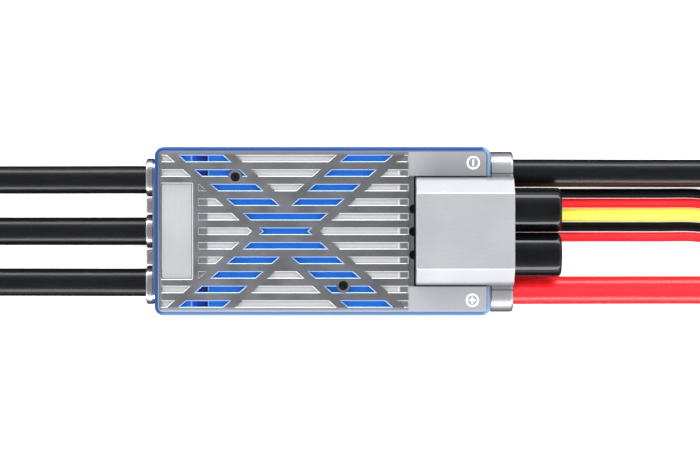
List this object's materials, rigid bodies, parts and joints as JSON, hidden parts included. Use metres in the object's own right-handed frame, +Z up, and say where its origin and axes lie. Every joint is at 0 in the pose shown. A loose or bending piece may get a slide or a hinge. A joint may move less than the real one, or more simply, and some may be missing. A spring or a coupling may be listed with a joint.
{
  "type": "electronic speed controller",
  "caption": "Brushless motor speed controller in a blue and silver metal case with a slotted heat sink, a capacitor hood, and lead and wire tails at both ends.",
  "frame": {"origin": "on the surface it lies on, under the middle of the body's outline without its leads", "axes": "+X from the motor end to the battery end, +Y towards the negative battery lead, +Z up out of the heat sink"},
  "size_m": [0.303, 0.0382, 0.0182],
  "materials": {
    "anodised_blue": "satin anodised",
    "silver_cover": "bead-blasted anodised",
    "bright_silver": "satin",
    "silicone_black": "matt silicone",
    "silicone_red": "matt silicone",
    "tinned_copper": "tinned",
    "wire_black": "satin insulation",
    "wire_red": "satin insulation",
    "wire_yellow": "satin insulation",
    "copper": "bare copper",
    "sleeve_black": "gloss shrink sleeve",
    "board_green": "solder mask",
    "chip_black": "moulded",
    "thermal_grey": "matt",
    "screw_black": "black oxide",
    "plug_black": "moulded",
    "tie_black": "woven"
  },
  "bodies": {
    "root": {"lower_case": "anodised_blue", "heat_spreader": "anodised_blue", "heatsink_cover": "silver_cover", "capacitor_hood": "silver_cover", "nameplate": "bright_silver", "motor_end_block": "bright_silver", "battery_end_block": "bright_silver", "capacitor_can_1": "bright_silver", "capacitor_can_2": "bright_silver", "motor_grommet_1": "silicone_black", "motor_grommet_2": "silicone_black", "motor_grommet_3": "silicone_black", "battery_grommet_negative": "silicone_black", "battery_grommet_positive": "silicone_black", "motor_lead_1": "silicone_black", "motor_lead_2": "silicone_black", "motor_lead_3": "silicone_black", "battery_lead_negative": "silicone_black", "battery_lead_positive": "silicone_red", "motor_lead_tip_1": "tinned_copper", "motor_lead_tip_2": "tinned_copper", "motor_lead_tip_3": "tinned_copper", "battery_lead_tip_negative": "tinned_copper", "battery_lead_tip_positive": "tinned_copper", "throttle_wire_ground": "wire_black", "bec_wire_ground": "wire_black", "wire_hank": "wire_black", "throttle_wire_power": "wire_red", "bec_wire_power": "wire_red", "throttle_wire_signal": "wire_yellow", "phase_tab_1": "copper", "phase_tab_2": "copper", "phase_tab_3": "copper", "battery_tab_negative": "copper", "battery_tab_positive": "copper", "capacitor_sleeve_1": "sleeve_black", "capacitor_sleeve_2": "sleeve_black", "power_board": "board_green", "control_board": "board_green", "capacitor_board": "board_green", "microcontroller": "chip_black", "gate_driver": "chip_black", "mosfet_1": "chip_black", "mosfet_2": "chip_black", "mosfet_3": "chip_black", "mosfet_4": "chip_black", "mosfet_5": "chip_black", "mosfet_6": "chip_black", "bec_inductor": "chip_black", "thermal_pad": "thermal_grey", "cover_screw_1": "screw_black", "cover_screw_2": "screw_black", "base_screw_1": "screw_black", "base_screw_2": "screw_black", "base_screw_3": "screw_black", "base_screw_4": "screw_black", "throttle_plug": "plug_black", "bec_plug": "plug_black", "wire_tie": "tie_black"}
  },
  "joints": []
}
